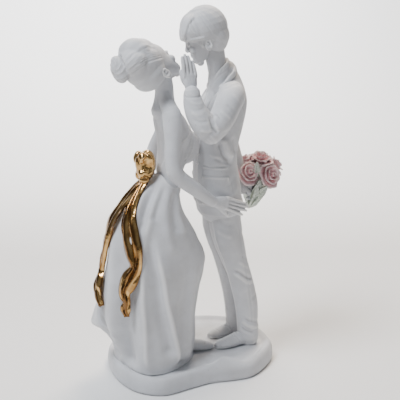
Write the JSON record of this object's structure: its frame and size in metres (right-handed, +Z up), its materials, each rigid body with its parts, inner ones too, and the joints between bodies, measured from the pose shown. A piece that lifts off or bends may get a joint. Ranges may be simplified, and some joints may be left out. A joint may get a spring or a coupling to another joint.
{
  "type": "porcelain couple figurine",
  "caption": "White bisque porcelain wedding couple in an embrace on a low free-form plinth, with a gilt sash knot and a bouquet of pink roses behind the groom's back.",
  "frame": {"origin": "on the plinth's underside, below the middle of the couple", "axes": "+Z up, the bride faces +X and the groom faces -X, and the open side of the embrace is towards -Y"},
  "size_m": [0.1707, 0.11, 0.2905],
  "materials": {
    "white_bisque": "matt unglazed white bisque porcelain",
    "gold_lustre": "glossy fired gold lustre over glaze",
    "leaf_bisque": "matt bisque with a faint green tint",
    "pink_bisque": "matt tinted bisque, paler at the petal edges"
  },
  "bodies": {
    "root": {"couple_on_plinth": "white_bisque", "gilt_sash": "gold_lustre", "bouquet_leaves": "leaf_bisque", "rose_1": "pink_bisque", "rose_2": "pink_bisque", "rose_3": "pink_bisque", "rose_4": "pink_bisque", "rose_5": "pink_bisque"}
  },
  "joints": []
}
